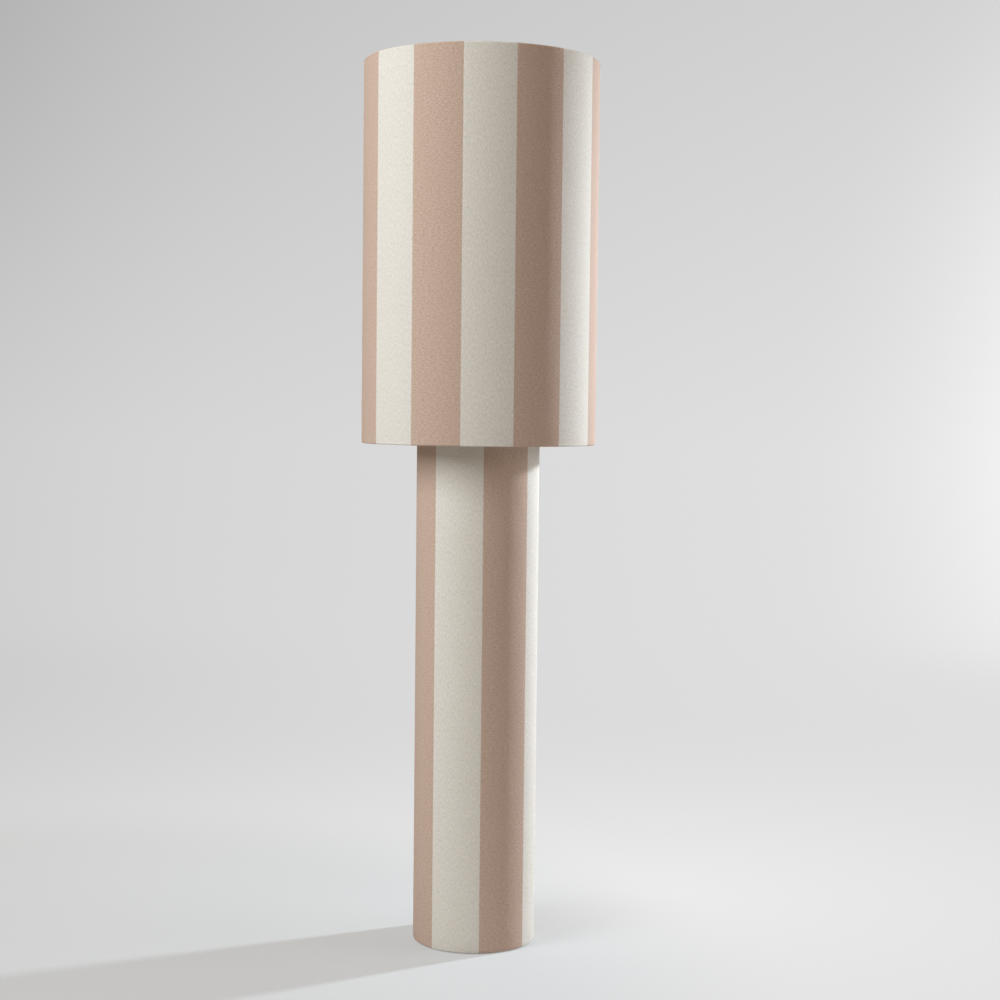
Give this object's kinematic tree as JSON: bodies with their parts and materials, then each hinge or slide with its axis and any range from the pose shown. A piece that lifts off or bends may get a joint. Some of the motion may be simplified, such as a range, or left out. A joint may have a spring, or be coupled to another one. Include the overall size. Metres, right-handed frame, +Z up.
{
  "type": "floor lamp",
  "caption": "Straight linen-covered column floor lamp with a tall drum shade in the same broad-striped cloth, a screw lampholder and a removable bulb.",
  "frame": {"origin": "on the floor, under the lamp's vertical axis", "axes": "+Z up along the lamp's axis, -Y towards the front, +X to the right seen from the front; the cord inlet and both cloth seams are at the back, +Y"},
  "size_m": [0.4, 0.4, 1.5],
  "materials": {
    "striped_linen": "plain-woven linen with broad clay and natural stripes, laminated, matt",
    "felt": "pressed wool felt",
    "plywood": "sanded birch plywood",
    "painted_board": "fibreboard with white sprayed paint",
    "paperboard": "spiral-wound grey-brown paperboard",
    "cast_iron": "sand-cast, bare",
    "zinc_steel": "bright zinc plate",
    "grommet_rubber": "moulded, matt",
    "phenolic": "moulded thermoset, satin",
    "steatite": "pressed steatite, unglazed",
    "brass": "drawn and rolled, bright",
    "phosphor_bronze": "rolled spring strip",
    "white_wire": "white powder coat, satin",
    "shade_pvc": "stiff matt white shade lining",
    "nickel_shell": "nickel plate",
    "cap_glass": "black cap insulator, glossy",
    "bulb_plastic": "white moulded housing, satin",
    "circuit_board": "green solder resist",
    "led_aluminium": "white-faced aluminium board",
    "led_phosphor": "yellow phosphor over the chips",
    "opal_polycarbonate": "opal diffuser, fine satin"
  },
  "bodies": {
    "column": {"base_felt": "felt", "base_board": "plywood", "bottom_seat_ring": "plywood", "ballast": "cast_iron", "ballast_washer": "zinc_steel", "ballast_nut": "zinc_steel", "bottom_washer": "zinc_steel", "bottom_nut": "zinc_steel", "tie_rod": "zinc_steel", "column_tube": "paperboard", "column_cloth": "striped_linen", "top_seat_ring": "plywood", "top_board": "painted_board", "top_washer": "zinc_steel", "top_nut": "zinc_steel", "cord_grommet": "grommet_rubber", "lampholder_cap": "phenolic", "cap_lock_screw": "zinc_steel", "lampholder_skirt": "phenolic", "contact_carrier": "steatite", "terminal_screws": "brass", "socket_shell": "brass", "centre_contact": "phosphor_bronze", "lower_shade_ring": "phenolic"},
    "retaining_ring": {"upper_shade_ring": "phenolic"},
    "shade": {"fitter_ring": "white_wire", "carrier_arms": "white_wire", "shade_bottom_wire": "white_wire", "shade_top_wire": "white_wire", "shade_liner": "shade_pvc", "shade_cloth": "striped_linen"},
    "bulb": {"bulb_tip_contact": "nickel_shell", "bulb_insulator": "cap_glass", "bulb_screw_shell": "nickel_shell", "bulb_housing": "bulb_plastic", "driver_board": "circuit_board", "led_board": "led_aluminium", "led_chips": "led_phosphor", "bulb_dome": "opal_polycarbonate"}
  },
  "joints": [
    {"name": "ring_unscrew", "type": "slide", "parent": "column", "child": "retaining_ring", "axis": [0, 0, 1], "range_m": [0, 0.024]},
    {"name": "shade_turn", "type": "hinge", "parent": "column", "child": "shade", "pos_m": [0, 0, 0.926], "axis": [0, 0, 1], "continuous": true},
    {"name": "bulb_out", "type": "slide", "parent": "column", "child": "bulb", "axis": [0, 0, 1], "range_m": [0, 0.6]}
  ]
}
